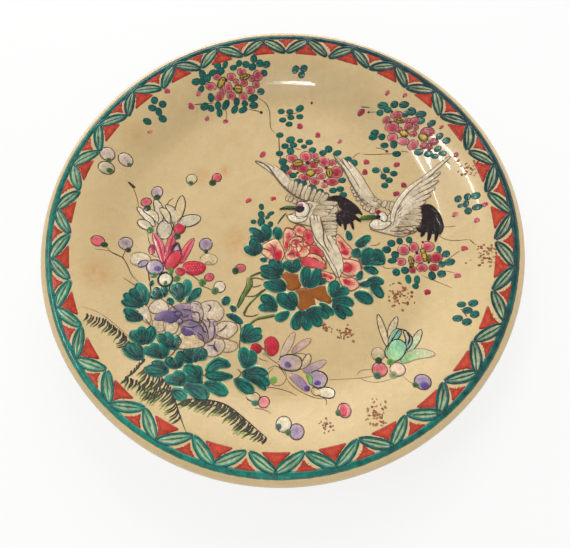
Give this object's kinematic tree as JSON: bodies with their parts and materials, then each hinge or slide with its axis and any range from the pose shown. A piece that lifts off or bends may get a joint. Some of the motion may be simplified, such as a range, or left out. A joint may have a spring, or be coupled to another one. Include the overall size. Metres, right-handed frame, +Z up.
{
  "type": "ceramic charger plate",
  "caption": "Round glazed ceramic charger with a flat well, wide curved flange, rolled lip, foot ring and raised painted border, for serving or display.",
  "frame": {"origin": "on the table, under the middle of the foot ring", "axes": "+Z up along the turning axis; +Y towards the top of the painted picture, +X to its right"},
  "size_m": [0.303, 0.303, 0.0369],
  "materials": {
    "cream_glaze": "clear gloss over a warm cream body, aged, with faint tan stains",
    "bare_clay": "unglazed buff clay, matt, slightly gritty",
    "teal_enamel": "raised gloss overglaze enamel with brush marks",
    "picture_enamels": "overglaze enamels in red, pink, violet, white, green and black, low gloss relief",
    "gilt": "thin worn gilding"
  },
  "bodies": {
    "root": {"dish": "cream_glaze", "foot_ring": "bare_clay", "rim_border": "teal_enamel"}
  },
  "joints": []
}
